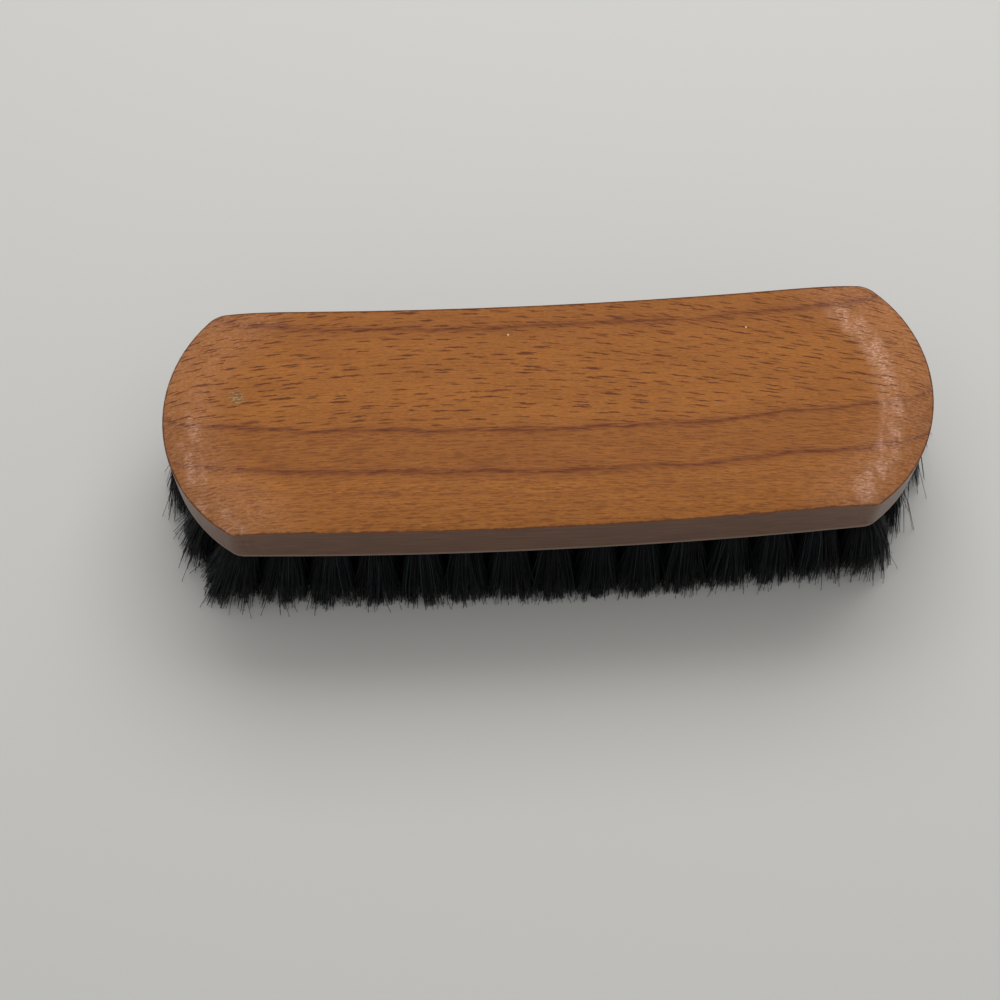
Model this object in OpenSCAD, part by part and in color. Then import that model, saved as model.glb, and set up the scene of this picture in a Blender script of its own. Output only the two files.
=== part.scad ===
// Shoe shine brush. A beech block holds five staggered rows of tufts in blind drilled holes.
// Each tuft is a bundle of black horsehair, folded in half over a short piece of flat wire
// whose two ends bite into the wood.
// Lengths are in millimetres. The brush lies along X, its near side faces -Y, and the trimmed
// tips of the bristles lie on Z = 0 with the block above them.

/* [Wooden block] */
// Length of the block from end to end
block_len = 170; // [155:1:185]
// Width of the block, measured square to its sides
block_wid = 52; // [50:0.5:60]
// Thickness of the block between its flat faces
block_thk = 16; // [14.5:0.5:22]
// Radius of the two round ends, seen from above
end_rad = 32; // [31:0.5:36]
// Radius of the four corners between a side and an end
corner_rad = 5; // [3:0.5:8]
// How far the middle of the block bows out towards the near side
bow = 2.9; // [0.5:0.1:5]
// How far the centres of the round ends are moved towards the far side of the bowed middle line
end_shift = 1.9; // [0:0.1:3]

/* [Rolled shoulder] */
// How far the rolled shoulder reaches in from an end
shoulder_wid = 10; // [7:0.5:14]
// How far the shoulder has fallen where it meets the end
shoulder_drop = 2.6; // [1:0.1:4]

/* [Drilled holes] */
// Diameter of each hole
hole_dia = 4.5; // [3.6:0.1:5]
// Depth of each hole, to the shoulder of its drill point
hole_depth = 9.5; // [7.5:0.5:10]
// Included angle of the drill point
point_deg = 118; // [90:1:140]
// Diameter of the small flat at the tip of the drill point
point_flat = 0.8; // [0.4:0.1:1.5]
// Number of tufts in the middle row, each further row has one less
middle_tufts = 17; // [13:2:17]
// Distance from each end of the block to the first hole of the middle row
end_margin = 7.4; // [6:0.1:10]
// Distance from each side of the block to the holes of the outer row
side_margin = 4.6; // [4.5:0.1:7]

/* [Tufts] */
// Length of bristle that stands out of the block
bristle_len = 25; // [15:0.5:35]
// Diameter to which a tuft has spread at its trimmed tip
tip_dia = 9.2; // [6:0.1:9.4]
// Gap between a tuft and the wall of its hole
tuft_gap = 0.1; // [0.05:0.01:0.3]
// How far the tips of the outer rows lean out past their holes
side_lean = 3.4; // [0:0.1:6]
// How far the tips at the two ends of the middle row lean out past their holes
end_lean = 7.5; // [0:0.1:9]
// How sharply the lean grows towards the ends, 1 being evenly
lean_power = 3; // [1:0.5:4]

/* [Wire anchors] */
// Height of the flat wire, measured along the hole
wire_hgt = 1.6; // [1:0.1:2.2]
// Thickness of the flat wire
wire_thk = 0.45; // [0.3:0.05:0.7]
// How far each end of the wire bites into the wood
wire_bite = 0.5; // [0.2:0.1:1]
// Thickness of the folded hair above the wire
fold_thk = 1.8; // [1.2:0.1:2.2]
// Gap between the wire and what it sits in
wire_gap = 0.05; // [0.02:0.01:0.1]

/* [Hidden] */
$fn = 64;
// Faces on the very large circles of the bow
bow_fn = 1440;
// Overlap that lets a cutting shape pass clean through a face
past = 2;
// Overlap by which a corner arc crosses the arcs that it blends into
crossing = 0.01;

half_wid = block_wid / 2;
// The round ends have their centres on the line y = 0, which the middle line of the block leaves
// as a shallow arc. The centre of that arc lies beyond the far side. Its radius and height are
// rounded to a hundredth, so that the sides meet the corners without a step.
end_x = block_len / 2 - end_rad;
bow_rad = to_hundredth((pow(block_len / 2, 2) + pow(bow, 2)) / (2 * bow));
bow_y = to_hundredth(sqrt(pow(bow_rad, 2) - pow(end_x, 2))) - end_shift;
bow_to_end = norm([end_x, bow_y]);
end_deg = atan(end_x / bow_y);
shoulder_rad = (pow(shoulder_wid, 2) + pow(shoulder_drop, 2)) / (2 * shoulder_drop);

hole_rad = hole_dia / 2;
point_hgt = (hole_rad - point_flat / 2) / tan(point_deg / 2);
last_column = 2 * middle_tufts - 2;
column_pitch = (block_len - 2 * end_margin) / last_column;
outer_row = 2;
row_pitch = (half_wid - side_margin) / outer_row;

root_rad = hole_rad - tuft_gap;
tip_rad = tip_dia / 2;
wire_top = hole_depth - fold_thk;
wire_len = hole_dia + 2 * wire_bite;

// Reach of the outer tips from the middle line, used to set the origin in the middle of the brush
tip_reach = half_wid - side_margin + side_lean + tip_rad;
near_y = bow_y - bow_rad - tip_reach;
far_y = bow_y - (bow_rad - tip_reach) * cos(arc_deg(column_s(last_column - 2)));
origin_y = -(near_y + far_y) / 2;

wood_colour = [0.74, 0.43, 0.19];
hair_colour = [0.07, 0.07, 0.08];
wire_colour = [0.80, 0.68, 0.40];

// Columns of tufts are counted from the left end, and rows from the near side
function to_hundredth(value) = round(value * 100) / 100;
function arc_deg(s) = s / bow_rad * 180 / PI;
function column_s(k) = (k - last_column / 2) * column_pitch;
function rows_of(k) = k % 2 == 1 ? [-1, 1] : (k == 0 || k == last_column) ? [0] : [-outer_row, 0, outer_row];
function row_t(row) = row * row_pitch;
function has_row(k, row) = len([for (r = rows_of(k)) if (r == row) r]) > 0;
function two_digits(n) = str(n < 10 ? "0" : "", n);
function column_name(k) = str("tuft_column_", two_digits(k + 1));
function anchor_name(row) = str("anchor_row_", row + outer_row + 1);

// A point at distance s along the middle line and t across it, t being positive on the far side
function on_bow(s, t) = [
    (bow_rad - t) * sin(arc_deg(s)),
    bow_y - (bow_rad - t) * cos(arc_deg(s))
];

// Centre of the corner arc that touches both the round end and one side of the block
function corner_angle(side) =
    let (a = bow_rad - side * (half_wid - corner_rad))
    let (b = end_rad - corner_rad)
    acos((a * a + bow_to_end * bow_to_end - b * b) / (2 * a * bow_to_end));
function corner_centre(side) =
    on_bow((end_deg + corner_angle(side)) * PI / 180 * bow_rad, side * (half_wid - corner_rad));

// Wedge of the plane that the bow sweeps between plus and minus one angle
module bow_wedge(deg) {
    reach = 2 * bow_rad;
    translate([0, bow_y])
        polygon([[0, 0], [reach * sin(deg), -reach * cos(deg)], [-reach * sin(deg), -reach * cos(deg)]]);
}

// Band of the plane between two radii of the bow
module bow_band(inner, outer, deg) {
    intersection() {
        translate([0, bow_y])
            difference() {
                circle(outer, $fn = bow_fn);
                circle(inner, $fn = bow_fn);
            }
        bow_wedge(deg);
    }
}

// Round end and its two corners, on the right
module end_outline() {
    centre = [end_x, 0];
    near = corner_centre(-1);
    far = corner_centre(1);
    wedge = 4;
    intersection() {
        translate(centre) circle(end_rad, $fn = 256);
        polygon([centre, centre + wedge * (near - centre), centre + wedge * (far - centre)]);
    }
    translate(near) circle(corner_rad + crossing);
    translate(far) circle(corner_rad + crossing);
}

// The whole block seen from above
module block_outline() {
    bow_band(bow_rad - half_wid, bow_rad + half_wid, end_deg + corner_angle(-1));
    bow_band(bow_rad - half_wid, bow_rad, end_deg + corner_angle(1));
    end_outline();
    mirror([1, 0]) end_outline();
}

// Half of the cross-section that the rolled shoulder leaves, from the middle line out past the rim
module shoulder_section() {
    square([end_rad - shoulder_wid, block_thk]);
    square([end_rad + past, block_thk - shoulder_drop]);
    intersection() {
        translate([end_rad - shoulder_wid, block_thk - shoulder_rad]) circle(shoulder_rad, $fn = 256);
        translate([end_rad - shoulder_wid, 0]) square([shoulder_wid + past, block_thk]);
    }
}

// The shoulder swept round an end, on the right
module shoulder_end() {
    translate([end_x, 0, 0])
        rotate(-90)
            rotate_extrude(angle = 180, $fn = 256) shoulder_section();
}

// The shoulder swept straight along the block and round both ends
module rolled_shoulder() {
    translate([-end_x, 0, 0])
        rotate([90, 0, 90])
            linear_extrude(2 * end_x) {
                shoulder_section();
                mirror([1, 0]) shoulder_section();
            }
    shoulder_end();
    mirror([1, 0, 0]) shoulder_end();
}

// Puts its children at the mouth of one hole, their Z pointing up the hole.
// The hole leans inwards as it goes up, so that its tuft leans outwards as it comes down.
module at_hole(k, row) {
    s = column_s(k);
    out_s = end_lean * sign(s) * pow(abs(s) / column_s(last_column), lean_power);
    out_t = side_lean * row / outer_row;
    tilt = atan(norm([out_s, out_t]) / bristle_len);
    way = atan2(out_t, out_s);
    translate([0, origin_y, bristle_len])
        translate(on_bow(s, row_t(row)))
            rotate(arc_deg(s) + way)
                rotate([0, -tilt, 0])
                    rotate(-way)
                        children();
}

// Piece of flat wire, grown by a gap all round where it serves as a cutting shape
module wire(gap) {
    translate([0, 0, wire_top - wire_hgt / 2])
        cube([wire_len + 2 * gap, wire_thk + 2 * gap, wire_hgt + 2 * gap], center = true);
}

// Blind hole with its drill point, and the two nicks that the wire bites
module drilled_hole() {
    translate([0, 0, -past]) cylinder(h = hole_depth + past, r = hole_rad);
    translate([0, 0, hole_depth]) cylinder(h = point_hgt, r1 = hole_rad, r2 = point_flat / 2);
    wire(wire_gap);
}

// Hair bundle: a straight root, a saddle where it folds over the wire, and a spreading brush
module tuft() {
    reach = bristle_len + past + side_lean + end_lean;
    spread = (tip_rad - root_rad) / bristle_len;
    difference() {
        union() {
            translate([0, 0, -reach]) cylinder(h = reach, r1 = root_rad + spread * reach, r2 = root_rad);
            cylinder(h = hole_depth - root_rad, r = root_rad);
            intersection() {
                cylinder(h = hole_depth, r = root_rad);
                translate([0, 0, hole_depth - root_rad])
                    rotate([0, 90, 0]) cylinder(h = hole_dia, r = root_rad, center = true);
            }
        }
        wire(wire_gap);
    }
}

// Everything above the plane in which the tips are trimmed
module above_trim() {
    translate([-block_len, -block_wid * 2, 0]) cube([block_len * 2, block_wid * 4, bristle_len + block_thk]);
}

module block() {
    color(wood_colour)
        difference() {
            translate([0, origin_y, bristle_len])
                intersection() {
                    rolled_shoulder();
                    translate([0, 0, -past]) linear_extrude(block_thk + 2 * past) block_outline();
                }
            for (k = [0 : last_column])
                for (row = rows_of(k))
                    at_hole(k, row) drilled_hole();
        }
}

module tuft_column(k) {
    color(hair_colour)
        for (row = rows_of(k))
            intersection() {
                at_hole(k, row) tuft();
                above_trim();
            }
}

module anchor_row(row) {
    color(wire_colour)
        for (k = [0 : last_column])
            if (has_row(k, row))
                at_hole(k, row) wire(0);
}

block();
for (k = [0 : last_column])
    tuft_column(k);
for (row = [-outer_row : outer_row])
    anchor_row(row);
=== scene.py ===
# %% [markdown]
# # Shoe shine brush
# A shoe shine brush is a block of beech, varnished orange-brown, with five staggered rows of
# black horsehair tufts set in drilled holes underneath. It lies on its bristles on a pale table.
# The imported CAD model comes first, because every piece below is placed by it. The pieces could
# also be placed by eye, but then they would drift away from the solids that carry them.

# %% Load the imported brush
import math

import bpy
import numpy as np
from mathutils import Matrix, Vector


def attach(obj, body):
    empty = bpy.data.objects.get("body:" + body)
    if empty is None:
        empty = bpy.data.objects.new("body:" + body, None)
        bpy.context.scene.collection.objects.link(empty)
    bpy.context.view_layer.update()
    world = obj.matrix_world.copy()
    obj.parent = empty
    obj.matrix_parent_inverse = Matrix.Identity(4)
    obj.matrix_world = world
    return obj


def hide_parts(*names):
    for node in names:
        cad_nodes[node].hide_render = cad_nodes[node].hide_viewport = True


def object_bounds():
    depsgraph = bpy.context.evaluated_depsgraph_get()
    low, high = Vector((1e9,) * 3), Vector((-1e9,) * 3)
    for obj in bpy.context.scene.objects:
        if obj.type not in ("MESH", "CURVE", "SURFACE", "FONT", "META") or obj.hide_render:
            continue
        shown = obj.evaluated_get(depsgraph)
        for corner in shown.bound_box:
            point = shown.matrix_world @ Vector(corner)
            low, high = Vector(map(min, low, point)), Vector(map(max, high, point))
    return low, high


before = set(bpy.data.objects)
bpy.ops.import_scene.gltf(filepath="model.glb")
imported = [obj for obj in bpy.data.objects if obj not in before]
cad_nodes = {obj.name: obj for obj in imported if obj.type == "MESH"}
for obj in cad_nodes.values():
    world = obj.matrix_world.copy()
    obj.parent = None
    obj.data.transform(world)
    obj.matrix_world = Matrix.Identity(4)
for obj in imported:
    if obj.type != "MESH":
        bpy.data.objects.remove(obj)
cad_box = [list(corner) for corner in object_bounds()]
MM = 0.001
print("CAD box in mm:", [[round(v / MM, 2) for v in corner] for corner in cad_box])

# %% [markdown]
# ## Sizes
# The sizes of the block and of its pattern of holes are the ones that the CAD was made with. The
# middle line of the block is a shallow arc, so that the near side bulges and the far side is
# hollow, and the five rows of tufts follow it. The holes could be read back from the mesh of the
# block, but a few sizes and the rule of the arc say the same with less work.

# %% Sizes of the brush, in millimetres
BLOCK_LEN = 170
BLOCK_WID = 52
BLOCK_THK = 16
BRISTLE_LEN = 25
END_RAD = 32
BOW = 2.9
END_SHIFT = 1.9
END_MARGIN = 7.4
SIDE_MARGIN = 4.6
SIDE_LEAN = 3.4
END_LEAN = 7.5
LEAN_POWER = 3
ROOT_RAD = 2.15
TIP_RAD = 4.6
LAST_COLUMN = 32
OUTER_ROW = 2
half_wid = BLOCK_WID / 2
end_x = BLOCK_LEN / 2 - END_RAD
bow_rad = round(((BLOCK_LEN / 2) ** 2 + BOW ** 2) / (2 * BOW), 2)
bow_y = round(math.sqrt(bow_rad ** 2 - end_x ** 2), 2) - END_SHIFT
column_pitch = (BLOCK_LEN - 2 * END_MARGIN) / LAST_COLUMN
row_pitch = (half_wid - SIDE_MARGIN) / OUTER_ROW
tip_reach = half_wid - SIDE_MARGIN + SIDE_LEAN + TIP_RAD
near_y = bow_y - bow_rad - tip_reach
far_y = bow_y - (bow_rad - tip_reach) * math.cos((LAST_COLUMN / 2 - 2) * column_pitch / bow_rad)
origin_y = -(near_y + far_y) / 2
top_z = BRISTLE_LEN + BLOCK_THK
print("middle of the ends at y", round(origin_y, 3), "bow radius", bow_rad)

# %% [markdown]
# ## Camera
# The photograph was taken from above the near side, with the lens about half a metre away. A
# camera could be turned by hand until the outlines meet. Here it is placed from the middle of the
# flat back of the brush by a few numbers that were fitted to the outline: how far it looks down,
# how far it is turned about the upright axis, and how far it lies from that point.

# %% Set up the camera
FOCAL_PX = 2200
PICTURE_PX = 1000
SENSOR_MM = 36
LOOK_DOWN = math.radians(70)
TURN = math.radians(2.91)
FROM_BACK_MM = (-10.72, -21.78, -482.04)
back_centre = Vector((0, origin_y, top_z)) * MM
unturn = Matrix.Rotation(-TURN, 3, "Z")
right = unturn @ Vector((1, 0, 0))
up = unturn @ Vector((0, math.sin(LOOK_DOWN), math.cos(LOOK_DOWN)))
ahead = unturn @ Vector((0, math.cos(LOOK_DOWN), -math.sin(LOOK_DOWN)))
camera_data = bpy.data.cameras.new("camera")
camera_data.sensor_width = SENSOR_MM
camera_data.lens = FOCAL_PX / PICTURE_PX * SENSOR_MM
camera_data.clip_start = 0.01
camera = bpy.data.objects.new("camera", camera_data)
bpy.context.scene.collection.objects.link(camera)
from_back = [way * distance for way, distance in zip((right, up, ahead), FROM_BACK_MM)]
camera.location = back_centre + (from_back[0] + from_back[1] + from_back[2]) * MM
camera.rotation_mode = "QUATERNION"
camera.rotation_quaternion = Matrix((right, up, -ahead)).transposed().to_quaternion()
bpy.context.scene.camera = camera
print("camera at", [round(v, 3) for v in camera.location], "lens", round(camera_data.lens, 1))

# %% [markdown]
# ## Colours
# A colour is easiest to compare with a picture when it is written as it looks on a screen. The
# shaders work in linear light, so one function turns the written colours to that.

# %% Turn screen colours to linear ones
def linear(hex_colour):
    """A screen colour such as "c08040" as linear red, green, blue and alpha."""
    parts = [int(hex_colour[i:i + 2], 16) / 255 for i in (0, 2, 4)]
    turned = [v / 12.92 if v <= 0.04045 else ((v + 0.055) / 1.055) ** 2.4 for v in parts]
    return (*turned, 1.0)


print("mid grey 808080 in linear light:", round(linear("808080")[0], 3))

# %% [markdown]
# ## Nodes
# A finish is a small net of shader nodes. Each node could be added and linked in lines of its
# own, as one would drag them in the node editor. One function that adds a node with its settings
# and links keeps a step of the net on one line, whichever kind of node it is.

# %% Add a node with its settings and links
def set_inputs(tree, node, values):
    """Fills sockets. A node gives its first open output, and text is a screen colour."""
    for socket, value in values.items():
        if isinstance(value, bpy.types.Node):
            value = next(output for output in value.outputs if output.enabled)
        if isinstance(value, str):
            value = linear(value)
        if isinstance(value, bpy.types.NodeSocket):
            tree.links.new(value, node.inputs[socket])
        else:
            node.inputs[socket].default_value = value


def add_node(tree, kind, inputs=(), stops=(), **settings):
    """Adds a node. Inputs go to its open sockets in order, or by name or number from a dict."""
    made = tree.nodes.new("ShaderNode" + kind)
    for name, value in settings.items():
        setattr(made, name, value)
    for place, value in stops:
        reused = made.color_ramp.elements[0] if place == 0 else None
        reused = made.color_ramp.elements[-1] if place == 1 else reused
        stop = reused or made.color_ramp.elements.new(place)
        stop.color = linear(value) if isinstance(value, str) else (value, value, value, 1)
    if not isinstance(inputs, dict):
        open_sockets = [number for number, socket in enumerate(made.inputs) if socket.enabled]
        inputs = dict(zip(open_sockets, inputs))
    set_inputs(tree, made, inputs)
    return made


def new_material(name):
    """A new material with its node tree and its shader, which is already joined."""
    material = bpy.data.materials.new(name)
    material.use_nodes = True
    tree = material.node_tree
    return material, tree, tree.nodes["Principled BSDF"]


# A Map Range with this setting steps softly, and one without it steps evenly
SOFT = {"interpolation_type": "SMOOTHSTEP"}
print("materials before the first finish:", len(bpy.data.materials))

# %% [markdown]
# ## Table
# The brush lies on a plain pale tabletop, which only has to catch its shadow. A curved backdrop
# would hide the far edge, but the camera looks down and never sees that edge, so one flat sheet
# under the tips of the bristles is enough.

# %% Lay the table
TABLE_SIZE = 2.4
bpy.ops.mesh.primitive_plane_add(size=TABLE_SIZE, location=(0, 0, 0))
table = bpy.context.object
table.name = "table"
# Matt paint spreads the light evenly and has no clear reflection of the brush
table_paint, tree, shader = new_material("painted_table")
set_inputs(tree, shader, {"Base Color": "cac9c5", "Roughness": 0.6, "Specular IOR Level": 0.2})
table.data.materials.append(table_paint)
print("table of", TABLE_SIZE, "m at height", table.location.z)

# %% [markdown]
# ## Room light
# The room gives a faint light from all round, so that no shadow is black. The camera should see it
# pale wherever it looks past the table. One background can't be both faint and pale, so the rays
# of the camera and of reflections get a brighter one of their own.

# %% Light the room
ROOM_LIGHT = 0.32
world = bpy.data.worlds.new("studio")
bpy.context.scene.world = world
world.use_nodes = True
tree = world.node_tree
sky = tree.nodes["Background"]
set_inputs(tree, sky, {"Color": "e9eaec", "Strength": ROOM_LIGHT})
seen = add_node(tree, "Background", {"Color": "d2d1cd", "Strength": 1})
ray = add_node(tree, "LightPath")
seen_by = ray.outputs["Is Camera Ray"]
for kind in ("Is Glossy Ray", "Is Transmission Ray"):
    seen_by = add_node(tree, "Math", (seen_by, ray.outputs[kind]), operation="MAXIMUM")
both = add_node(tree, "MixShader", (seen_by, sky, seen))
set_inputs(tree, tree.nodes["World Output"], {"Surface": both})
print("room light", ROOM_LIGHT, "with", len(tree.nodes), "nodes")

# %% [markdown]
# ## Lamps
# Daylight comes from above and behind. Its shadow falls softly towards the viewer and fades
# within a hand's width. A single small lamp would cut a hard edge, so two broad ones hang there:
# a large one overhead and a smaller one behind. They are kept out of the varnish, whose real gloss
# mirrors only the plain room.

# %% Hang the lamps
def hang_lamp(name, place, size, watts):
    """A rectangular soft lamp that faces the brush."""
    data = bpy.data.lights.new(name, "AREA")
    data.shape = "RECTANGLE"
    data.size, data.size_y = size
    data.energy = watts
    lamp = bpy.data.objects.new(name, data)
    bpy.context.scene.collection.objects.link(lamp)
    lamp.location = place
    lamp.rotation_mode = "QUATERNION"
    lamp.rotation_quaternion = (-Vector(place)).to_track_quat("-Z", "Y")
    lamp.visible_glossy = False
    print("lamp", name, "of", watts, "W,", round(Vector(place).length, 2), "m away")


hang_lamp("overhead", (0.0, 0.14, 1.1), (1.4, 1.2), 5.1)
hang_lamp("behind", (0.08, 0.43, 0.60), (0.7, 0.4), 3.4)

# %% [markdown]
# ## Beech
# The block is flat-sawn beech, stained orange-brown and varnished. A picture of wood wrapped round
# it would smear at the edges. Every pattern here reads the place in the block instead, so the
# grain runs through the wood and round its edges. The Object coordinates are in metres from the
# origin of the CAD. A Mapping node turns them to millimetres from the middle of the flat back,
# because all the sizes of the grain are known in millimetres.

# %% Start the beech with its place in millimetres
# Varnished beech looks warm and lively, with a skin that has a soft gloss
beech, tree, shader = new_material("varnished_beech")
place = add_node(tree, "TexCoord")
in_mm = add_node(tree, "Mapping", {
    "Vector": place.outputs["Object"],
    "Location": (0, -origin_y, -top_z),
    "Scale": (1 / MM, 1 / MM, 1 / MM)})
along, across, height = add_node(tree, "SeparateXYZ", (in_mm,)).outputs
print("the grain is measured from", (0, round(origin_y, 2), top_z), "mm")

# %% [markdown]
# ## Uneven grain
# Nothing in wood is even. Fibres, pores, clouds of darker stain and the ragged rims of rings,
# flecks and scratches all need noise, each with patches of its own length and width. One noise
# could serve for all, but then they would wander together. So each pattern has its own, and its
# size along, across and up the block is written in millimetres. The real fibres are far thinner
# than 0.26 mm, but a finer one would not show in the picture.

# %% Make the noise of each pattern, with its patch size in millimetres and its detail
GRAIN_MM = {
    "fibres": ((9, 0.26, 0.26), 3),
    "pores": ((1.0, 0.22, 0.4), 2),
    "clouds": ((26, 6, 6), 2),
    "ring_wander": ((22, 60, 60), 2),
    "ring_gaps": ((9, 1.2, 3), 2),
    "fleck_edges": ((1.4, 0.5, 9), 1),
    "worn_and_sheen_patches": ((3, 5, 9), 2),
    "worn_specks": ((0.9, 0.4, 9), 3),
    "long_scratches": ((2.5, 0.25, 9), 2),
    "cross_scratches": ((0.22, 3.0, 9), 2),
    "blotch_edges": ((0.9, 0.7, 9), 2),
    "shade_line_edges": ((1.6, 1.6, 1.6), 3),
}
grain = {}
for pattern, (size, detail) in GRAIN_MM.items():
    patches = [1 / v for v in size]
    sized = add_node(tree, "VectorMath", (in_mm, patches), operation="MULTIPLY")
    grain[pattern] = add_node(tree, "TexNoise", {"Vector": sized, "Scale": 1, "Detail": detail})
# Fibres run from -0.5 to 0.5, so that they can push a pattern either way
fibre_push = add_node(tree, "Math", (grain["fibres"], 0.5), operation="SUBTRACT")
print("noise patterns:", len(grain))

# %% [markdown]
# ## Year rings
# The saw has cut the year rings almost flat, so they run along the back as a few long lines that
# bend a little. The concentric rings of a Wave texture would all be alike and evenly spaced. In the
# real block three lines are dark and the wood beside them is dull, so each line gets its place and
# darkness in a list, measured across the block.

# %% Measure the place among the year rings
RING_BEND = -0.00062
RING_SLANT = 0.010
RING_RISE = 0.9
WANDER_MM = 2.6
FIBRE_STREAK_MM = 2.6
wander = add_node(tree, "Math", (grain["ring_wander"], 0.5), operation="SUBTRACT")
wander = add_node(tree, "Math", (wander, WANDER_MM), operation="MULTIPLY")
along_squared = add_node(tree, "Math", (along, along), operation="MULTIPLY")
slant = add_node(tree, "Math", (along, RING_SLANT), operation="MULTIPLY")
curve = add_node(tree, "Math", (along_squared, RING_BEND, slant), operation="MULTIPLY_ADD")
curved_across = add_node(tree, "Math", (across, curve), operation="ADD")
# Going down into the wood moves the line across, as on the side of a sloping layer
lowered = add_node(tree, "Math", (height, RING_RISE, wander), operation="MULTIPLY_ADD")
ring_at = add_node(tree, "Math", (curved_across, lowered), operation="ADD")
streaked_at = add_node(tree, "Math", (fibre_push, FIBRE_STREAK_MM, ring_at), operation="MULTIPLY_ADD")
print("a ring moves", round(RING_BEND * end_x ** 2, 2), "mm from the middle to the round ends")

# %% [markdown]
# ## Darkness of the rings
# A Color Ramp holds a list of places with a grey for each. The list is in millimetres, and the
# ramp runs from 0 to 1, so both are scaled to the same span.

# %% Draw the year rings
RING_REACH_MM = 30
RING_DARKNESS = (
    (-30, 0.12), (-22.4, 0.10), (-21.2, 0.45), (-20.6, 0.10), (-18.6, 0.06), (-17.3, 0.42),
    (-16.6, 0.62), (-16.25, 1.0), (-15.9, 0.62), (-15.0, 0.38), (-11.5, 0.34), (-8.4, 0.28),
    (-7.4, 0.45), (-6.9, 0.58), (-6.55, 1.0), (-6.2, 0.52), (-5.5, 0.26), (-4.6, 0.08),
    (0, 0.0), (9, 0.02), (14, 0.06), (16.8, 0.30), (17.55, 0.58), (17.9, 1.0), (18.3, 0.55),
    (19.3, 0.26), (22, 0.20), (25, 0.10), (30, 0.25))
ring_share = add_node(tree, "MapRange", (streaked_at, -RING_REACH_MM, RING_REACH_MM, 0, 1))
ring_stops = [(v / (2 * RING_REACH_MM) + 0.5, darkness) for v, darkness in RING_DARKNESS]
rings = add_node(tree, "ValToRGB", (ring_share,), stops=ring_stops)
# Nearer than these places the streaks are deeper and the flecks finer than beyond them
NEAR_WOOD = -9
FAR_WOOD = -4
print("ring lines set at", [v for v, darkness in RING_DARKNESS if darkness >= 0.5], "mm")

# %% [markdown]
# ## Stain
# Stain sinks in unevenly, in fine streaks along the fibres, in pores and in wide soft clouds. Each
# could be a layer of its own, but they are all the same two tones. So their sum picks a colour
# between a dark and a light orange-brown. The rings go over it in a redder brown, and break up here
# and there.

# %% Stain the wood
streak_depth = add_node(tree, "MapRange", (ring_at, NEAR_WOOD, FAR_WOOD, 1.5, 0.85), **SOFT)
streaks = add_node(tree, "Math", (fibre_push, streak_depth), operation="MULTIPLY")
clouded = add_node(tree, "Math", (grain["clouds"], 0.6, 0.2), operation="MULTIPLY_ADD")
wood_share = add_node(tree, "Math", (clouded, streaks), operation="ADD")
pored = add_node(tree, "Math", (grain["pores"], 1.1, -0.55), operation="MULTIPLY_ADD")
wood_share = add_node(tree, "Math", (wood_share, pored), operation="ADD", use_clamp=True)
wood = add_node(tree, "ValToRGB", (wood_share,), stops=((0, "7c4719"), (1, "ab6b2e")))
ring_tones = ((0, "7c4a24"), (0.35, "77431f"), (1, "541f13"))
ring_tone = add_node(tree, "ValToRGB", (rings,), stops=ring_tones)
unbroken = add_node(tree, "MapRange", (grain["ring_gaps"], 0.3, 0.6, 0.6, 1.0), **SOFT)
ring_cover = add_node(tree, "Math", (rings, unbroken), operation="MULTIPLY")
wood = add_node(tree, "Mix", (ring_cover, wood, ring_tone), data_type="RGBA")
print("nodes with rings and stain:", len(tree.nodes))

# %% [markdown]
# ## Ray flecks
# Beech is known by its rays, which show on a flat-sawn face as thousands of short dark spindles
# about 3 mm long. They fan out from one end to the other. A Voronoi texture smears where the cells
# are slid against each other, so the face is cut into rows of cells by hand. White noise then gives
# each row its slide, and each cell its own place, size and strength.

# %% Fan the rows of flecks
FAN_BEND = 0.0012
FAN_SLANT = 0.08
FAN_GROWTH = 0.02
RAGGED_MM = 0.45
LAYERS_PER_MM = 0.12
fan = add_node(tree, "Math", (along, FAN_SLANT), operation="MULTIPLY")
fan = add_node(tree, "Math", (along_squared, FAN_BEND, fan), operation="MULTIPLY_ADD")
growth = add_node(tree, "Math", (across, FAN_GROWTH, 1), operation="MULTIPLY_ADD")
fan = add_node(tree, "Math", (fan, growth), operation="MULTIPLY")
ragged = add_node(tree, "Math", (grain["fleck_edges"], 0.5), operation="SUBTRACT")
ragged = add_node(tree, "Math", (ragged, RAGGED_MM), operation="MULTIPLY")
fanned = add_node(tree, "Math", (across, fan), operation="ADD")
fanned = add_node(tree, "Math", (fanned, ragged), operation="ADD")
# The wood is taken in layers about 8 mm deep, each with flecks of its own
layer = add_node(tree, "Math", (height, LAYERS_PER_MM), operation="MULTIPLY")
layer = add_node(tree, "Math", (layer,), operation="FLOOR")
slope = 2 * FAN_BEND * end_x
print("the flecks slope from", round(FAN_SLANT - slope, 2), "to", round(FAN_SLANT + slope, 2))

# %% [markdown]
# ## One kind of fleck
# All flecks are made the same way and differ only in size and number, so one function draws a
# whole field of them. A spindle is pointed at both ends: its rounded diamond comes from adding the
# two distances from its middle, each raised to a power between 1 and 2.

# %% Draw a field of flecks
SPINDLE_POWER = 1.6
SLIDE_CELLS = 9


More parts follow.
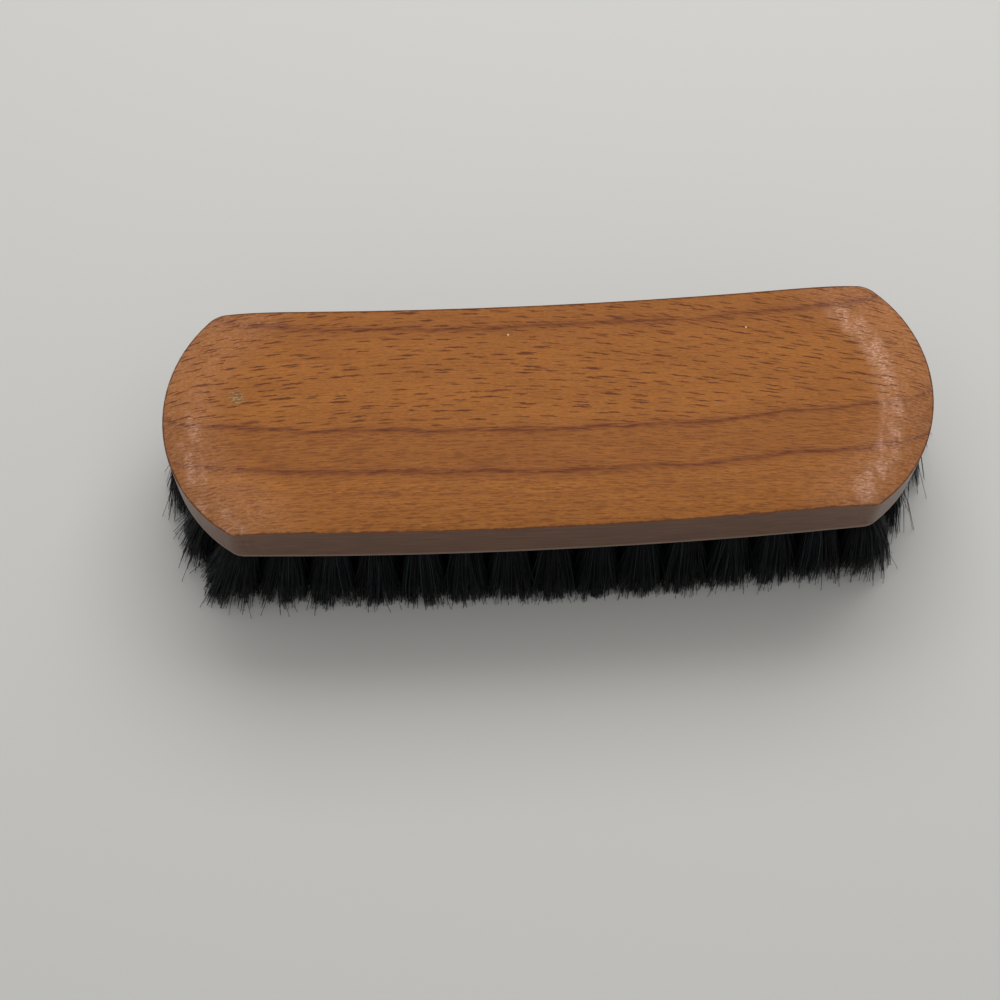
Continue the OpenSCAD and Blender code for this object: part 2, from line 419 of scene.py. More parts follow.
def flecks(cell, half_size, shift, shown):
    """Dark spindles of this half size in millimetres, one to a cell, each with its own place."""
    in_rows = add_node(tree, "Math", (fanned, shift), operation="ADD")
    in_rows = add_node(tree, "Math", (in_rows, cell[1]), operation="DIVIDE")
    row_number = add_node(tree, "Math", (in_rows,), operation="FLOOR")
    row_spot = add_node(tree, "CombineXYZ", (row_number, layer, shift))
    slide = add_node(tree, "TexWhiteNoise", {"Vector": row_spot})
    slide = add_node(tree, "Math", (slide, SLIDE_CELLS), operation="MULTIPLY")
    in_cells = add_node(tree, "Math", (along, cell[0]), operation="DIVIDE")
    in_cells = add_node(tree, "Math", (in_cells, slide), operation="ADD")
    cell_number = add_node(tree, "Math", (in_cells,), operation="FLOOR")
    cell_layer = add_node(tree, "Math", (layer, shift), operation="ADD")
    spot = add_node(tree, "CombineXYZ", (cell_number, row_number, cell_layer))
    chance = add_node(tree, "TexWhiteNoise", {"Vector": spot}).outputs["Color"]
    strength, place_in_cell, share_of_size = add_node(tree, "SeparateColor", (chance,)).outputs
    size = add_node(tree, "Math", (share_of_size, 0.55, 0.45), operation="MULTIPLY_ADD")
    # The middle of the spindle moves up or down as far as its cell leaves room
    room = 1 - 2 * half_size[1] / cell[1]
    off_x = add_node(tree, "Math", (in_cells, cell_number), operation="SUBTRACT")
    off_x = add_node(tree, "Math", (off_x, 0.5), operation="SUBTRACT")
    off_y = add_node(tree, "Math", (in_rows, row_number), operation="SUBTRACT")
    off_y = add_node(tree, "Math", (off_y, 0.5), operation="SUBTRACT")
    moved = add_node(tree, "Math", (place_in_cell, 0.5), operation="SUBTRACT")
    off_y = add_node(tree, "Math", (moved, -room, off_y), operation="MULTIPLY_ADD")
    powers = []
    for off, cell_size, half in ((off_x, cell[0], half_size[0]), (off_y, cell[1], half_size[1])):
        far = add_node(tree, "Math", (off, cell_size / half), operation="MULTIPLY")
        far = add_node(tree, "Math", (far, size), operation="DIVIDE")
        far = add_node(tree, "Math", (far,), operation="ABSOLUTE")
        powers.append(add_node(tree, "Math", (far, SPINDLE_POWER), operation="POWER"))
    reach = add_node(tree, "Math", powers, operation="ADD")
    inside = add_node(tree, "MapRange", (reach, 0.6, 1.0, 1, 0), **SOFT)
    is_shown = add_node(tree, "MapRange", (strength, 1 - shown, 1.3 - shown), **SOFT)
    return add_node(tree, "Math", (inside, is_shown), operation="MULTIPLY")


bold_fields = (flecks((5.9, 1.5), (2.7, 0.21), 3.1, 0.9), flecks((6.6, 2.1), (3.0, 0.25), 17.7, 0.8))
fine_fields = (flecks((4.3, 0.8), (2.1, 0.19), 8.3, 0.9), flecks((3.4, 1.0), (1.6, 0.20), 25.9, 0.8))
print("nodes with four fields of flecks:", len(tree.nodes))

# %% [markdown]
# ## Flecks on the flat faces
# The rays lie square to the flat faces, so the spindles show on the back and fade on the sides.
# The direction that the surface faces tells one from the other. Bold flecks fill the far half of
# the back, and fine ones the near half and the dark rings.

# %% Lay the flecks on the back
normal = add_node(tree, "NewGeometry").outputs["Normal"]
facing = add_node(tree, "SeparateXYZ", (normal,)).outputs
flatness = add_node(tree, "Math", (facing["Z"],), operation="ABSOLUTE")
flat_share = add_node(tree, "MapRange", (flatness, 0.35, 0.7), **SOFT)
bold = add_node(tree, "Math", bold_fields, operation="MAXIMUM")
bold_share = add_node(tree, "MapRange", (ring_at, NEAR_WOOD, FAR_WOOD, 0.35, 1.0), **SOFT)
bold = add_node(tree, "Math", (bold, bold_share), operation="MULTIPLY")
fine = add_node(tree, "Math", fine_fields, operation="MAXIMUM")
fine_share = add_node(tree, "MapRange", (ring_at, NEAR_WOOD, FAR_WOOD, 0.5, 0.25), **SOFT)
in_rings = add_node(tree, "Math", (rings, 1.2), operation="MULTIPLY")
fine_share = add_node(tree, "Math", (fine_share, in_rings), operation="MAXIMUM")
fine = add_node(tree, "Math", (fine, fine_share), operation="MULTIPLY")
fleck_share = add_node(tree, "Math", (bold, fine), operation="MAXIMUM")
on_flat = add_node(tree, "Math", (flat_share, 0.92), operation="MULTIPLY")
fleck_share = add_node(tree, "Math", (fleck_share, on_flat), operation="MULTIPLY", use_clamp=True)
wood = add_node(tree, "Mix", (fleck_share, wood, "592b12"), data_type="RGBA")
print("nodes with the flecks laid on:", len(tree.nodes))

# %% [markdown]
# ## Where the ends are worn and shine
# Use has rubbed the varnish dull inside both ends, in a band that follows the round end, and the
# rolled shoulder there catches a sheen. So the band is partly wear and partly a painted sheen. It
# could be painted by hand on the mesh. Here the distance from the centre of the round end places it,
# and lets it drift outwards on the near side. It is weak on the far side of the left end.

# %% Place the bands of wear and painted sheen
BAND_DRIFT = 0.25
BAND_TILT = 0.022
along_far = add_node(tree, "Math", (along,), operation="ABSOLUTE")
past_end = add_node(tree, "Math", (along_far, end_x), operation="SUBTRACT")
past_end = add_node(tree, "Math", (past_end, 0), operation="MAXIMUM")
past_squared = add_node(tree, "Math", (past_end, past_end), operation="MULTIPLY")
across_squared = add_node(tree, "Math", (across, across), operation="MULTIPLY")
round_end = add_node(tree, "Math", (past_squared, across_squared), operation="ADD")
round_end = add_node(tree, "Math", (round_end,), operation="SQRT")
band_at = add_node(tree, "Math", (along, BAND_TILT, round_end), operation="MULTIPLY_ADD")
near_side = add_node(tree, "Math", (across, 0), operation="MINIMUM")
band_at = add_node(tree, "Math", (near_side, BAND_DRIFT, band_at), operation="MULTIPLY_ADD")
band_starts = add_node(tree, "MapRange", (band_at, 19.0, 22.2), **SOFT)
band_stops = add_node(tree, "MapRange", (band_at, 23.8, 27.4, 1, 0), **SOFT)
sheen_band = add_node(tree, "Math", (band_starts, band_stops), operation="MULTIPLY")
left_end = add_node(tree, "MapRange", (along, -40, 40, 1, 0), **SOFT)
far_side = add_node(tree, "MapRange", (across, -6, 14), **SOFT)
far_left = add_node(tree, "Math", (left_end, far_side), operation="MULTIPLY")
left_strength = add_node(tree, "Math", (left_end, -0.2, 1), operation="MULTIPLY_ADD")
strength = add_node(tree, "Math", (far_left, -0.7, left_strength), operation="MULTIPLY_ADD")
sheen_band = add_node(tree, "Math", (sheen_band, strength), operation="MULTIPLY")
near_ends = add_node(tree, "MapRange", (along_far, 60, 68), **SOFT)
sheen_band = add_node(tree, "Math", (sheen_band, near_ends), operation="MULTIPLY")
print("round ends begin", end_x, "mm from the middle")

# %% [markdown]
# ## Scuffs, haze and painted sheen
# A scuff is not one pale patch. It is a crowd of specks with long and crossing scratches, in
# patches that come and go, and the dark flecks still show through it. Around it the varnish only
# has a thin haze. Both are mixed over the wood in a pale pinkish brown, which is partly bare, dusty
# beech and partly a painted sheen of light on the rounded ends.

# %% Scuff the bands and paint their sheen
patchy = add_node(tree, "MapRange", (grain["worn_and_sheen_patches"], 0.35, 0.62, 0.35, 1.0), **SOFT)
specks = add_node(tree, "MapRange", (grain["worn_specks"], 0.47, 0.62), **SOFT)
long_scratches = add_node(tree, "MapRange", (grain["long_scratches"], 0.46, 0.64), **SOFT)
long_scratches = add_node(tree, "Math", (long_scratches, 0.6), operation="MULTIPLY")
cross_scratches = add_node(tree, "MapRange", (grain["cross_scratches"], 0.56, 0.66), **SOFT)
cross_scratches = add_node(tree, "Math", (cross_scratches, 0.5), operation="MULTIPLY")
scratchy = add_node(tree, "Math", (specks, long_scratches), operation="MAXIMUM")
scratchy = add_node(tree, "Math", (scratchy, cross_scratches), operation="MAXIMUM")
scuffs_and_sheen = add_node(tree, "Math", (sheen_band, patchy), operation="MULTIPLY")
scratch_depth = add_node(tree, "Math", (scratchy, 0.85, 0.26), operation="MULTIPLY_ADD")
scuffs_and_sheen = add_node(tree, "Math", (scuffs_and_sheen, scratch_depth), operation="MULTIPLY")
haze_and_sheen = add_node(tree, "MapRange", (round_end, 14, 27, 0, 0.26), **SOFT)
haze_ends = add_node(tree, "MapRange", (along_far, 50, 66), **SOFT)
haze_and_sheen = add_node(tree, "Math", (haze_and_sheen, haze_ends), operation="MULTIPLY")
haze_depth = add_node(tree, "Math", (specks, 0.7, 0.3), operation="MULTIPLY_ADD")
haze_and_sheen = add_node(tree, "Math", (haze_and_sheen, haze_depth), operation="MULTIPLY")
wear_and_sheen = add_node(tree, "Math", (scuffs_and_sheen, 0.85), operation="MULTIPLY")
wear_and_sheen = add_node(tree, "Math", (wear_and_sheen, haze_and_sheen), operation="MAXIMUM")
fleck_shows = add_node(tree, "Math", (fleck_share, -0.8, 1), operation="MULTIPLY_ADD")
wear_and_sheen = add_node(tree, "Math", (wear_and_sheen, fleck_shows), operation="MULTIPLY", use_clamp=True)
# Real wear and painted sheen, mixed in as one pale pinkish brown
wood = add_node(tree, "Mix", (wear_and_sheen, wood, "c89a80"), data_type="RGBA")
print("nodes with the scuffs:", len(tree.nodes))

# %% [markdown]
# ## Small marks of use
# A brush that has been used has small marks: here a greenish blotch of old polish with pale
# grains in it, a shallow ring-shaped dent drawn as a ring of painted shade, and two pale specks. Each
# could be its own decal, but they are flat and part of the skin, so each is drawn by its distance
# from a spot on the back.

# %% Draw the blotch of polish
on_top = add_node(tree, "MapRange", (height, -6, -4), **SOFT)


def from_spot(x, y):
    """Distance on the back from one spot, in millimetres."""
    squares = []
    for measured, spot in ((along, x), (across, y)):
        off = add_node(tree, "Math", (measured, spot), operation="SUBTRACT")
        squares.append(add_node(tree, "Math", (off, off), operation="MULTIPLY"))
    total = add_node(tree, "Math", squares, operation="ADD")
    return add_node(tree, "Math", (total,), operation="SQRT")


BLOTCH_MM = (-68.3, 4.1)
BLOTCH_RAGGED_MM = 4.0
from_middle = from_spot(*BLOTCH_MM)
ragged_blotch = (grain["blotch_edges"], BLOTCH_RAGGED_MM, from_middle)
blotch = add_node(tree, "Math", ragged_blotch, operation="MULTIPLY_ADD")
blotch = add_node(tree, "MapRange", (blotch, 2.6, 4.4, 1, 0), **SOFT)
blotch_depth = add_node(tree, "Math", (on_top, 0.65), operation="MULTIPLY")
blotch = add_node(tree, "Math", (blotch, blotch_depth), operation="MULTIPLY")
between_grains = add_node(tree, "MapRange", (specks, 0, 1, 1.0, 0.3), **SOFT)
polish = add_node(tree, "Math", (blotch, between_grains), operation="MULTIPLY")
wood = add_node(tree, "Mix", (polish, wood, "665230"), data_type="RGBA")
in_grains = add_node(tree, "Math", (specks, 0.6), operation="MULTIPLY")
pale_grains = add_node(tree, "Math", (blotch, in_grains), operation="MULTIPLY")
wood = add_node(tree, "Mix", (pale_grains, wood, "c9ab82"), data_type="RGBA")
print("blotch at", BLOTCH_MM, "mm from the middle of the back")

# %% [markdown]
# ## Dent and specks
# The dent is drawn as a ring of painted shade: its darkness depends on how far a place is from the
# ring's own radius. The two specks are small pale dots. Both are too shallow for the mesh, so they
# are colour only.

# %% Draw the painted shade of the dent, and the specks
DENT_MM = (-75.2, 15.2)
DENT_RAD = 1.45
SPECKS_MM = ((-8.1, 16.2), (44.7, 15.4))
painted_dent_shade = add_node(tree, "Math", (from_spot(*DENT_MM), DENT_RAD), operation="SUBTRACT")
painted_dent_shade = add_node(tree, "Math", (painted_dent_shade,), operation="ABSOLUTE")
painted_dent_shade = add_node(tree, "MapRange", (painted_dent_shade, 0.1, 0.3, 1, 0), **SOFT)
dent_depth = add_node(tree, "MapRange", (grain["pores"], 0.3, 0.6, 0.0, 0.5), **SOFT)
dent_depth = add_node(tree, "Math", (on_top, dent_depth), operation="MULTIPLY")
painted_dent_shade = add_node(tree, "Math", (painted_dent_shade, dent_depth), operation="MULTIPLY")
# Painted shade in the ring of the dent
wood = add_node(tree, "Mix", (painted_dent_shade, wood, "6b3618"), data_type="RGBA")
for x, y in SPECKS_MM:
    speck = add_node(tree, "MapRange", (from_spot(x, y), 0.1, 0.32, 0.8, 0), **SOFT)
    speck = add_node(tree, "Math", (speck, on_top), operation="MULTIPLY")
    wood = add_node(tree, "Mix", (speck, wood, "dcc4a4"), data_type="RGBA")
print("dent at", DENT_MM, "and specks at", SPECKS_MM)

# %% [markdown]
# ## Dark line round the back
# Where the back turns down into the side, a thin dark line of painted shade runs round it, with a
# ragged inner rim. A bevel shader could find the edge but is slow and is lost in an export. The
# outline of the block is known, so its distance is worked out: from the two arcs of the sides and the
# round end.

# %% Draw the dark line of painted shade
from_bow = add_node(tree, "Math", (across, bow_y), operation="SUBTRACT")
from_bow = add_node(tree, "Math", (from_bow, 2), operation="POWER")
side_at = add_node(tree, "Math", (along_squared, from_bow), operation="ADD")
side_at = add_node(tree, "Math", (side_at,), operation="SQRT")
near_edge = add_node(tree, "Math", (bow_rad + half_wid, side_at), operation="SUBTRACT")
far_edge = add_node(tree, "Math", (side_at, bow_rad - half_wid), operation="SUBTRACT")
end_edge = add_node(tree, "Math", (END_RAD, round_end), operation="SUBTRACT")
edge_mm = add_node(tree, "Math", (near_edge, far_edge), operation="MINIMUM")
edge_mm = add_node(tree, "Math", (edge_mm, end_edge), operation="MINIMUM")
shade_line_width = add_node(tree, "Math", (grain["shade_line_edges"], 0.7, -0.12), operation="MULTIPLY_ADD")
edge_mm = add_node(tree, "Math", (edge_mm, shade_line_width), operation="SUBTRACT")
painted_edge_shade = add_node(tree, "MapRange", (edge_mm, -0.1, 0.25, 1, 0), **SOFT)
painted_edge_shade = add_node(tree, "Math", (painted_edge_shade, flat_share), operation="MULTIPLY")
painted_edge_shade = add_node(tree, "Math", (painted_edge_shade, 0.8), operation="MULTIPLY")
# Painted shade: a thin dark line along the edge of the back
wood = add_node(tree, "Mix", (painted_edge_shade, wood, "4a240f"), data_type="RGBA")
print("side arcs of radius", round(bow_rad - half_wid, 2), "and", round(bow_rad + half_wid, 2), "mm")

# %% [markdown]
# ## Sides
# The sides have less gloss and colour than the back: they are painted a dull grey-brown, which is
# painted shade with a painted grey reflection of the table. The fibres show along them as fine lines.
# The end grain at both ends is greyer still, from its pores and a painted reflection, and the lower
# rim is pale with a painted highlight.
# The side could be a material of its own, but its grain and the grain of the back belong to one
# piece of wood, so it is mixed in by where the surface faces.

# %% Paint shade, reflection and highlight on the sides
not_up = add_node(tree, "MapRange", (facing["Z"], 0.25, 0.6, 1, 0), **SOFT)
not_down = add_node(tree, "MapRange", (facing["Z"], -0.6, -0.25), **SOFT)
side_share = add_node(tree, "Math", (not_up, not_down), operation="MULTIPLY")
side_lines = add_node(tree, "MapRange", (grain["fibres"], 0.3, 0.7), **SOFT)
# Painted shade and painted grey reflection of the table on the sides
shaded_side_tone = add_node(tree, "ValToRGB", (side_lines,), stops=((0, "4f3322"), (1, "7d543a")))
shaded_side_cover = add_node(tree, "Math", (side_share, 0.9), operation="MULTIPLY")
wood = add_node(tree, "Mix", (shaded_side_cover, wood, shaded_side_tone), data_type="RGBA")
# Painted reflection at the round ends, over the real pores of the end grain
end_facing = add_node(tree, "Math", (facing["X"],), operation="ABSOLUTE")
end_grain_and_reflection = add_node(tree, "MapRange", (end_facing, 0.1, 0.8, 0, 0.38), **SOFT)
end_grain_and_reflection = add_node(tree, "Math", (end_grain_and_reflection, side_share), operation="MULTIPLY")
end_pores = add_node(tree, "MapRange", (grain["pores"], 0.3, 0.6, 0.6, 1.0), **SOFT)
end_grain_and_reflection = add_node(tree, "Math", (end_grain_and_reflection, end_pores), operation="MULTIPLY")
wood = add_node(tree, "Mix", (end_grain_and_reflection, wood, "8f7f73"), data_type="RGBA")
# Painted highlight: a thin pale line along the lower rim
painted_rim_highlight = add_node(tree, "MapRange", (height, -15.4, -14.7, 1, 0), **SOFT)
painted_rim_highlight = add_node(tree, "Math", (painted_rim_highlight, side_share), operation="MULTIPLY")
painted_rim_highlight = add_node(tree, "Math", (painted_rim_highlight, 0.6), operation="MULTIPLY")
wood = add_node(tree, "Mix", (painted_rim_highlight, wood, "a58d7c"), data_type="RGBA")
print("nodes of the whole wood:", len(tree.nodes))

# %% [markdown]
# ## Varnish
# The varnish is a thin clear skin over the stain. A separate coat on the shader would double the
# gloss, which is soft here, so the wood's own gloss stands for it. It is duller along the fibres
# and where the varnish is scuffed, and the grain can be felt through it as a very shallow relief.

# %% Varnish the block
VARNISH_IOR = 1.45
VARNISH_DULLNESS = 0.28
RELIEF_MM = 0.1
dullness = add_node(tree, "Math", (scuffs_and_sheen, 0.2, VARNISH_DULLNESS), operation="MULTIPLY_ADD")
dullness = add_node(tree, "Math", (grain["fibres"], 0.12, dullness), operation="MULTIPLY_ADD")
relief = add_node(tree, "Math", (fleck_share, -0.4, grain["fibres"]), operation="MULTIPLY_ADD")
bump = add_node(tree, "Bump", {"Strength": 0.12, "Distance": RELIEF_MM * MM, "Height": relief})
set_inputs(tree, shader, {
    "Base Color": wood, "Roughness": dullness, "Normal": bump,
    "IOR": VARNISH_IOR, "Specular IOR Level": 0.35})
cad_nodes["block"].data.materials.clear()
cad_nodes["block"].data.materials.append(beech)
print("block finished with", beech.name, "of", len(tree.nodes), "nodes")

# %% [markdown]
# ## Holes
# Each tuft sits in a blind hole drilled in the underside. The holes lie in five staggered rows
# that follow the bow, and they lean, so that the tufts fan out towards the sides and the ends.
# The place and lean of a hole could be measured on the mesh of the block. The rule that the CAD
# drills them by is short, so it is written again here.

# %% Find each hole
def rows_of(column):
    """The rows that have a tuft in this column, from the near side."""
    if column % 2:
        return (-1, 1)
    return (0,) if column in (0, LAST_COLUMN) else (-OUTER_ROW, 0, OUTER_ROW)


def hole(column, row):
    """The frame of one hole in millimetres. Its Z runs up the hole, away from the bristles."""
    s = (column - LAST_COLUMN / 2) * column_pitch
    share = s / (LAST_COLUMN / 2 * column_pitch)
    out_s = math.copysign(END_LEAN * abs(share) ** LEAN_POWER, share)
    out_t = SIDE_LEAN * row / OUTER_ROW
    turn = s / bow_rad
    tilt = math.atan(math.hypot(out_s, out_t) / BRISTLE_LEN)
    way = math.atan2(out_t, out_s)
    reach = bow_rad - row * row_pitch
    mouth = (reach * math.sin(turn), origin_y + bow_y - reach * math.cos(turn), BRISTLE_LEN)
    turned = Matrix.Translation(mouth) @ Matrix.Rotation(turn + way, 4, "Z")
    return turned @ Matrix.Rotation(-tilt, 4, "Y") @ Matrix.Rotation(-way, 4, "Z")


print("holes:", sum(len(rows_of(k)) for k in range(LAST_COLUMN + 1)))

# %% [markdown]
# ## One hair
# A hair of a horse's tail is a stiff tapered fibre. Curves with a round bevel would make it with
# ease, but a tuft holds hundreds of hairs and operators can't lay so many, each along its own way.
# So one hair is modelled as a slim rod with three sides and a few rings. Its points are then
# repeated, each time with their own place, bend and length.

# %% Model one hair
HAIR_RINGS = 3
bpy.ops.object.select_all(action="DESELECT")
bpy.ops.mesh.primitive_cylinder_add(vertices=3, radius=1, depth=1, location=(0, 0, 0.5))
hair = bpy.context.object
bpy.ops.object.transform_apply(location=True)
bpy.ops.object.mode_set(mode="EDIT")
for ring in range(1, HAIR_RINGS):
    bpy.ops.mesh.select_all(action="SELECT")
    bpy.ops.mesh.bisect(plane_co=(0, 0, ring / HAIR_RINGS), plane_no=(0, 0, 1))
bpy.ops.object.mode_set(mode="OBJECT")
hair_points = np.array([v.co for v in hair.data.vertices])
hair_faces = [list(p.vertices) for p in hair.data.polygons]
bpy.data.objects.remove(hair)
print("one hair:", len(hair_points), "points,", len(hair_faces), "faces")

# %% [markdown]
# ## Bent hairs
# No hair stands quite straight. Most tips wander by half a millimetre or so, a few are wild, and
# one in a hundred is loose and stands off on its own. At the two ends of a used brush the tips
# have been worked about: some flare out and the rest are drawn in. Each end has its own amounts,
# listed with the left end first.

# %% Bend the hairs of a tuft
TIP_SWAY_MM = 0.6
WILD_SWAY_MM = 1.3
LOOSE_SWAY_MM = 3.2
END_SWAY_MM = 3.0
END_FLARE = (5.0, 2.0)
# How far the tips at each end are drawn in, for the middle row, the next two and the outer two
END_DRAW = ((5.2, 1.4, -0.4), (5.0, 5.0, 4.0))
CORNER_DRAW = 5.5
SIDE_DRAW = 0.5
dice = np.random.default_rng(7)


def tip_bends(outward, row, wild, loose):
    """How far each tip is bent along and across the brush. Outward is -1 to 1, left to right."""
    hairs = len(wild)
    bend = dice.normal(0, TIP_SWAY_MM, (hairs, 2))
    bend += dice.normal(0, WILD_SWAY_MM, (hairs, 2)) * wild[:, None]
    bend += dice.normal(0, LOOSE_SWAY_MM, (hairs, 2)) * loose[:, None]
    end = 0 if outward < 0 else 1
    flare = math.copysign(END_FLARE[end], outward) * abs(outward) ** 8
    bend[:, 0] += flare * dice.random(hairs) ** 2
    at_end = abs(outward) * BLOCK_LEN / (BLOCK_LEN - 2 * END_MARGIN)
    bend[:, 0] -= math.copysign(END_DRAW[end][abs(row)], outward) * at_end ** LEAN_POWER
    bend[:, 1] += dice.normal(0, END_SWAY_MM, hairs) * at_end ** 4 - SIDE_DRAW * row / OUTER_ROW
    bend[:, 1] -= CORNER_DRAW * math.copysign((row / OUTER_ROW) ** 2, row) * at_end ** 6
    return bend


print("end tips flare by up to", END_FLARE, "mm and are drawn in by", [d[0] for d in END_DRAW])

# %% [markdown]
# ## Locks
# Hairs that touch cling together, so the tips of a tuft gather in small locks. A simulation would
# find them, slowly. Here a few hairs are picked by chance, and the tips of all the others are
# drawn some of the way to the nearest of these.

# %% Draw the tips together in locks
LOCKS = 16
LOCK_PULL = 0.4


def lock_pulls(tips, wild):
    """How far each tip is pulled towards the middle of its lock. Wild hairs stay free."""
    lock = dice.integers(0, len(tips), LOCKS)
    gaps = tips[:, None, :] - tips[lock][None, :, :]
    nearest = lock[np.hypot(gaps[:, :, 0], gaps[:, :, 1]).argmin(axis=1)]
    drawn = LOCK_PULL * dice.random(len(tips)) * ~wild
    return drawn[:, None] * (tips[nearest] - tips)


print("locks in a tuft:", LOCKS)

# %% [markdown]
# ## Room round the brush
# The bristles may stand a little proud of the CAD's cones, but not by more than a few
# millimetres. A hard limit would press the stray tips flat against a wall. So a hair that passes
# the CAD box is eased back, the more the further it has passed.

# %% Ease the stray hairs back
PROUD = (4.5, 1.5)
ABOVE_TABLE_MM = 0.02


def hold_back(points):
    """Eases points in millimetres back towards the CAD box, along and across, in place."""
    for axis, room in enumerate(PROUD):
        low = cad_box[0][axis] / MM
        high = cad_box[1][axis] / MM
        over = (points[:, axis] - high).clip(0, None)
        under = (low - points[:, axis]).clip(0, None)
        points[:, axis] += room * np.tanh(over / room) - over
        points[:, axis] -= room * np.tanh(under / room) - under
    points[:, 2] = points[:, 2].clip(ABOVE_TABLE_MM, None)


print("hairs stand proud by less than", PROUD, "mm along and across")

# %% [markdown]
# ## One tuft
# All the hairs of a tuft leave the hole as a tight round bundle and spread below it, each at its
# own share of the bundle's radius. They are then trimmed level by the maker, so a hair that leans
# more is longer. The points of all hairs are worked out at once, which is far quicker than one
# hair after another.

# %% Grow a tuft from that hair
HAIR_RAD = 0.1
TUFT_SINK = 3
RIM_POWER = 0.45
WILD_SHARE = 0.08
LOOSE_SHARE = 0.012
SPREAD = 1.13
SPREAD_VARIES = 0.13
WILD_SPREAD = 0.35
END_SPREAD = 0.4
TRIM_MM = 0.4
TRIM_SHORT_MM = 1.2
TIP_TAPER = 0.35


def tuft_points(mouth, row, hairs):
    """The points of all the hairs of one tuft in metres, and the tone of each hair, whose lightest
    values are painted highlights.
    """
    # A power under a half packs the rim of the bundle more than its middle
    share = dice.random(hairs) ** RIM_POWER
    angle = dice.random(hairs) * 2 * math.pi
    wild = dice.random(hairs) < WILD_SHARE
    loose = dice.random(hairs) < LOOSE_SHARE
    outward = mouth.translation.x / (BLOCK_LEN / 2)
    around = np.stack([np.cos(angle), np.sin(angle)], axis=1)
    splay = SPREAD + np.abs(dice.normal(0, SPREAD_VARIES, hairs))
    splay += WILD_SPREAD * dice.random(hairs) * wild
    splay *= 1 + END_SPREAD * outward ** 4
    # Neighbours press the round tuft nearly square, so its corners reach further out
    splay *= np.abs(around).max(axis=1) ** -0.6
    bend = tip_bends(outward, row, wild, loose)
    trim = dice.normal(0, TRIM_MM, hairs).clip(-TRIM_SHORT_MM, TRIM_MM)
    thick = HAIR_RAD * (0.8 + 0.4 * dice.random(hairs))
    twist = dice.random(hairs) * 2 * math.pi
    tips = (share * splay * TIP_RAD)[:, None] * around + bend
    pull = lock_pulls(tips, wild)

    # Length down the hole's axis at which each hair meets the plane of the trimmed tips
    axes = np.array(mouth.to_3x3())
    pulled = tips + pull
    rise = pulled[:, 0] * axes[2, 0] + pulled[:, 1] * axes[2, 1]
    length = (mouth.translation.z + rise) / axes[2, 2] + trim
    down = hair_points[:, 2]
    depth = -TUFT_SINK + down * (length[:, None] + TUFT_SINK)
    out = np.clip(depth / length[:, None], 0, 1)

    # The hair spreads soon after it leaves the hole, and bends mostly near its tip
    root = share[:, None] * (ROOT_RAD - HAIR_RAD)
    spread = (share * splay * TIP_RAD - share * ROOT_RAD)[:, None] * out ** 0.6
    sway = bend + pull
    x = (root + spread) * around[:, :1] + sway[:, :1] * out ** 2
    y = (root + spread) * around[:, 1:] + sway[:, 1:] * out ** 2

    # The three corners of the rod stand round that line, closer together at the tip
    cos_twist = np.cos(twist)[:, None]
    sin_twist = np.sin(twist)[:, None]
    taper = thick[:, None] * (1 - TIP_TAPER * down ** 4)
    corner_x = hair_points[:, 0]
    corner_y = hair_points[:, 1]
    x = x + (corner_x * cos_twist - corner_y * sin_twist) * taper
    y = y + (corner_x * sin_twist + corner_y * cos_twist) * taper
    local = np.stack([x, y, -depth], axis=-1).reshape(-1, 3)
    turned = local @ axes.T + np.array(mouth.translation)
    hold_back(turned)
    # Each hair's own tone; the lightest hairs are painted highlight
    tone_and_highlight = np.repeat(dice.random(hairs), len(hair_points))
    return turned * MM, tone_and_highlight


print("a hair is", 2 * HAIR_RAD, "mm thick and starts", TUFT_SINK, "mm up its hole")

# %% [markdown]
# ## Horsehair
# The hair is dyed black. One flat black would hide the single hairs, so each hair has its own
# tone, stored with its points. Most stay nearly black, and a few are a cool dark grey, which is a
# painted highlight of hairs that catch the light.

# %% Dyed horsehair
# Dyed horsehair looks deep black, with a faint cool line of light along each hair
horsehair, tree, shader = new_material("black_horsehair")
own = add_node(tree, "Attribute", attribute_name="tone_and_highlight")
# The lightest tone is a painted highlight on single hairs
hair_tones_and_highlights = ((0, "040506"), (0.6, "080a0b"), (0.9, "161e21"), (1, "38454a"))
tint = add_node(tree, "ValToRGB", (own.outputs["Fac"],), stops=hair_tones_and_highlights)
set_inputs(tree, shader, {"Base Color": tint, "Roughness": 0.42, "Specular IOR Level": 0.12})
print("tones of the hair:", [tone for share, tone in hair_tones_and_highlights])

# %% [markdown]
# ## Setting the tufts
# A machine sets the tufts one after another. Here each column of holes becomes one piece, which
# takes the place of the CAD's plain cones for that column and rides on the block's body. The
# tufts at the ends and in the outer rows are seen best, so they get the most hairs.

# %% Set the tufts, one piece for each column of holes
END_HAIRS = 1500
OUTER_HAIRS = 1000
INNER_HAIRS = 560
END_COLUMNS = 3
OUTER_COLUMNS = 5
points_in_hair = len(hair_points)


def hairs_in(column, row):
    """The number of hairs in one tuft."""
    from_end = min(column, LAST_COLUMN - column)
    if from_end < END_COLUMNS:
        return END_HAIRS
    is_outer = from_end < OUTER_COLUMNS or abs(row) == OUTER_ROW
    return OUTER_HAIRS if is_outer else INNER_HAIRS


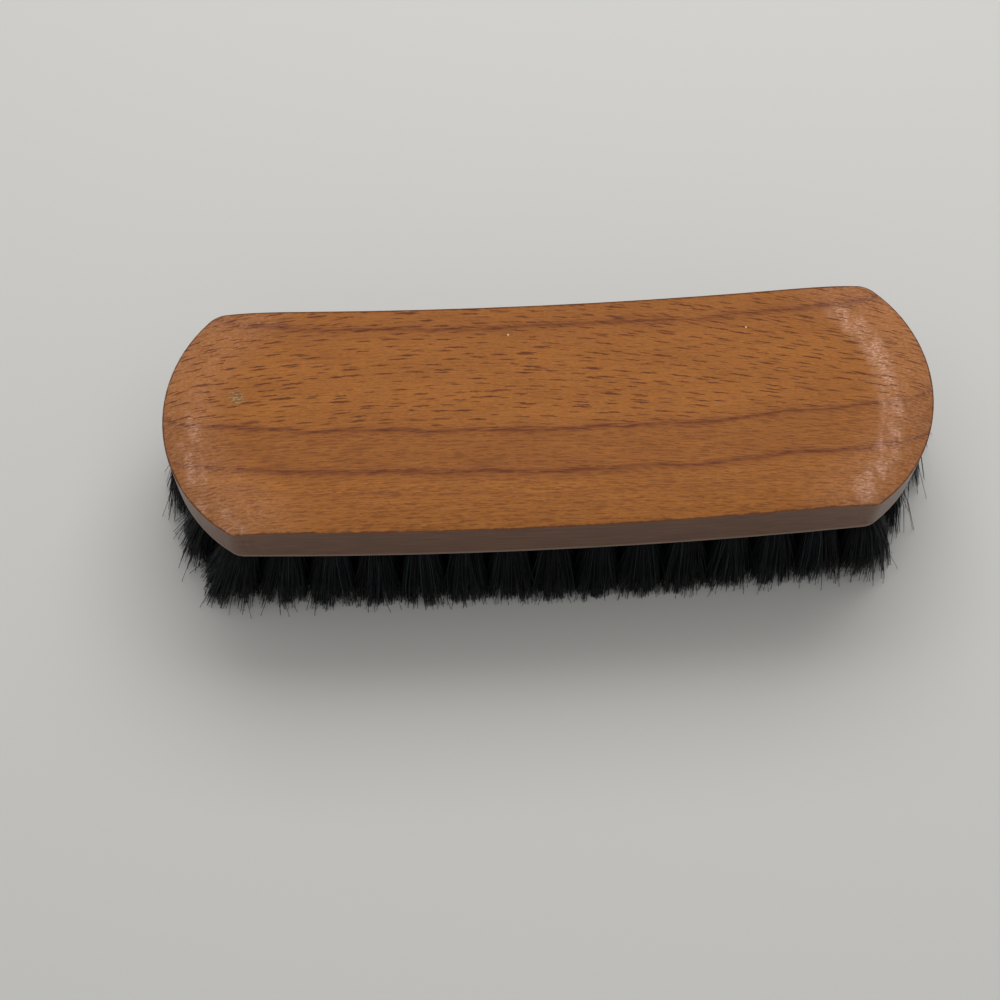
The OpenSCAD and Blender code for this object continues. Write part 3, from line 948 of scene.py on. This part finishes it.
hairs_set = 0
for column in range(LAST_COLUMN + 1):
    grown = [tuft_points(hole(column, row), row, hairs_in(column, row)) for row in rows_of(column)]
    points = np.concatenate([where for where, light in grown])
    tone_and_highlight = np.concatenate([light for where, light in grown])
    hairs = len(points) // points_in_hair
    faces = [[v + h * points_in_hair for v in face] for h in range(hairs) for face in hair_faces]
    mesh = bpy.data.meshes.new(f"bristles_{column + 1:02d}")
    mesh.from_pydata(points.tolist(), [], faces)
    mesh.attributes.new("tone_and_highlight", "FLOAT", "POINT").data.foreach_set("value", tone_and_highlight)
    mesh.materials.append(horsehair)
    mesh.shade_smooth()
    piece = bpy.data.objects.new(mesh.name, mesh)
    bpy.context.scene.collection.objects.link(piece)
    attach(piece, "root")
    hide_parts(f"tuft_column_{column + 1:02d}")
    hairs_set += hairs
print("bristles set:", LAST_COLUMN + 1, "pieces with", hairs_set, "hairs")

# %% [markdown]
# ## Anchor wires
# The flat wires that hold the tufts are hidden in their holes. Their CAD shape is right, so they
# only take a brass finish. The wire is drawn and rolled flat, which leaves fine lines on it and
# a skin that is a little dull and brown in places. One even brass would look like plastic up close.

# %% Finish the brass wire
# Drawn brass looks yellow and metallic, with fine dull lines
WIRE_LINE_MM = 0.15
brass, tree, shader = new_material("drawn_brass")
place = add_node(tree, "TexCoord")
drawn_lines = add_node(tree, "TexNoise", {
    "Vector": place.outputs["Object"], "Scale": 1 / (WIRE_LINE_MM * MM), "Detail": 3})
brass_tones = ((0, "7f6330"), (0.5, "b9964f"), (1, "c9a860"))
skin = add_node(tree, "ValToRGB", (drawn_lines,), stops=brass_tones)
dulled = add_node(tree, "MapRange", (drawn_lines, 0, 1, 0.25, 0.45))
set_inputs(tree, shader, {"Base Color": skin, "Metallic": 1, "Roughness": dulled})
for row in range(1, 2 * OUTER_ROW + 2):
    wires = cad_nodes[f"anchor_row_{row}"]
    wires.data.materials.clear()
    wires.data.materials.append(brass)
print("rows of wires finished:", 2 * OUTER_ROW + 1)

# %% [markdown]
# ## Finish
# A film-like view would shift the colours, so they are shown as they are.

# %% Show the colours as they are
bpy.context.scene.view_settings.view_transform = "Standard"
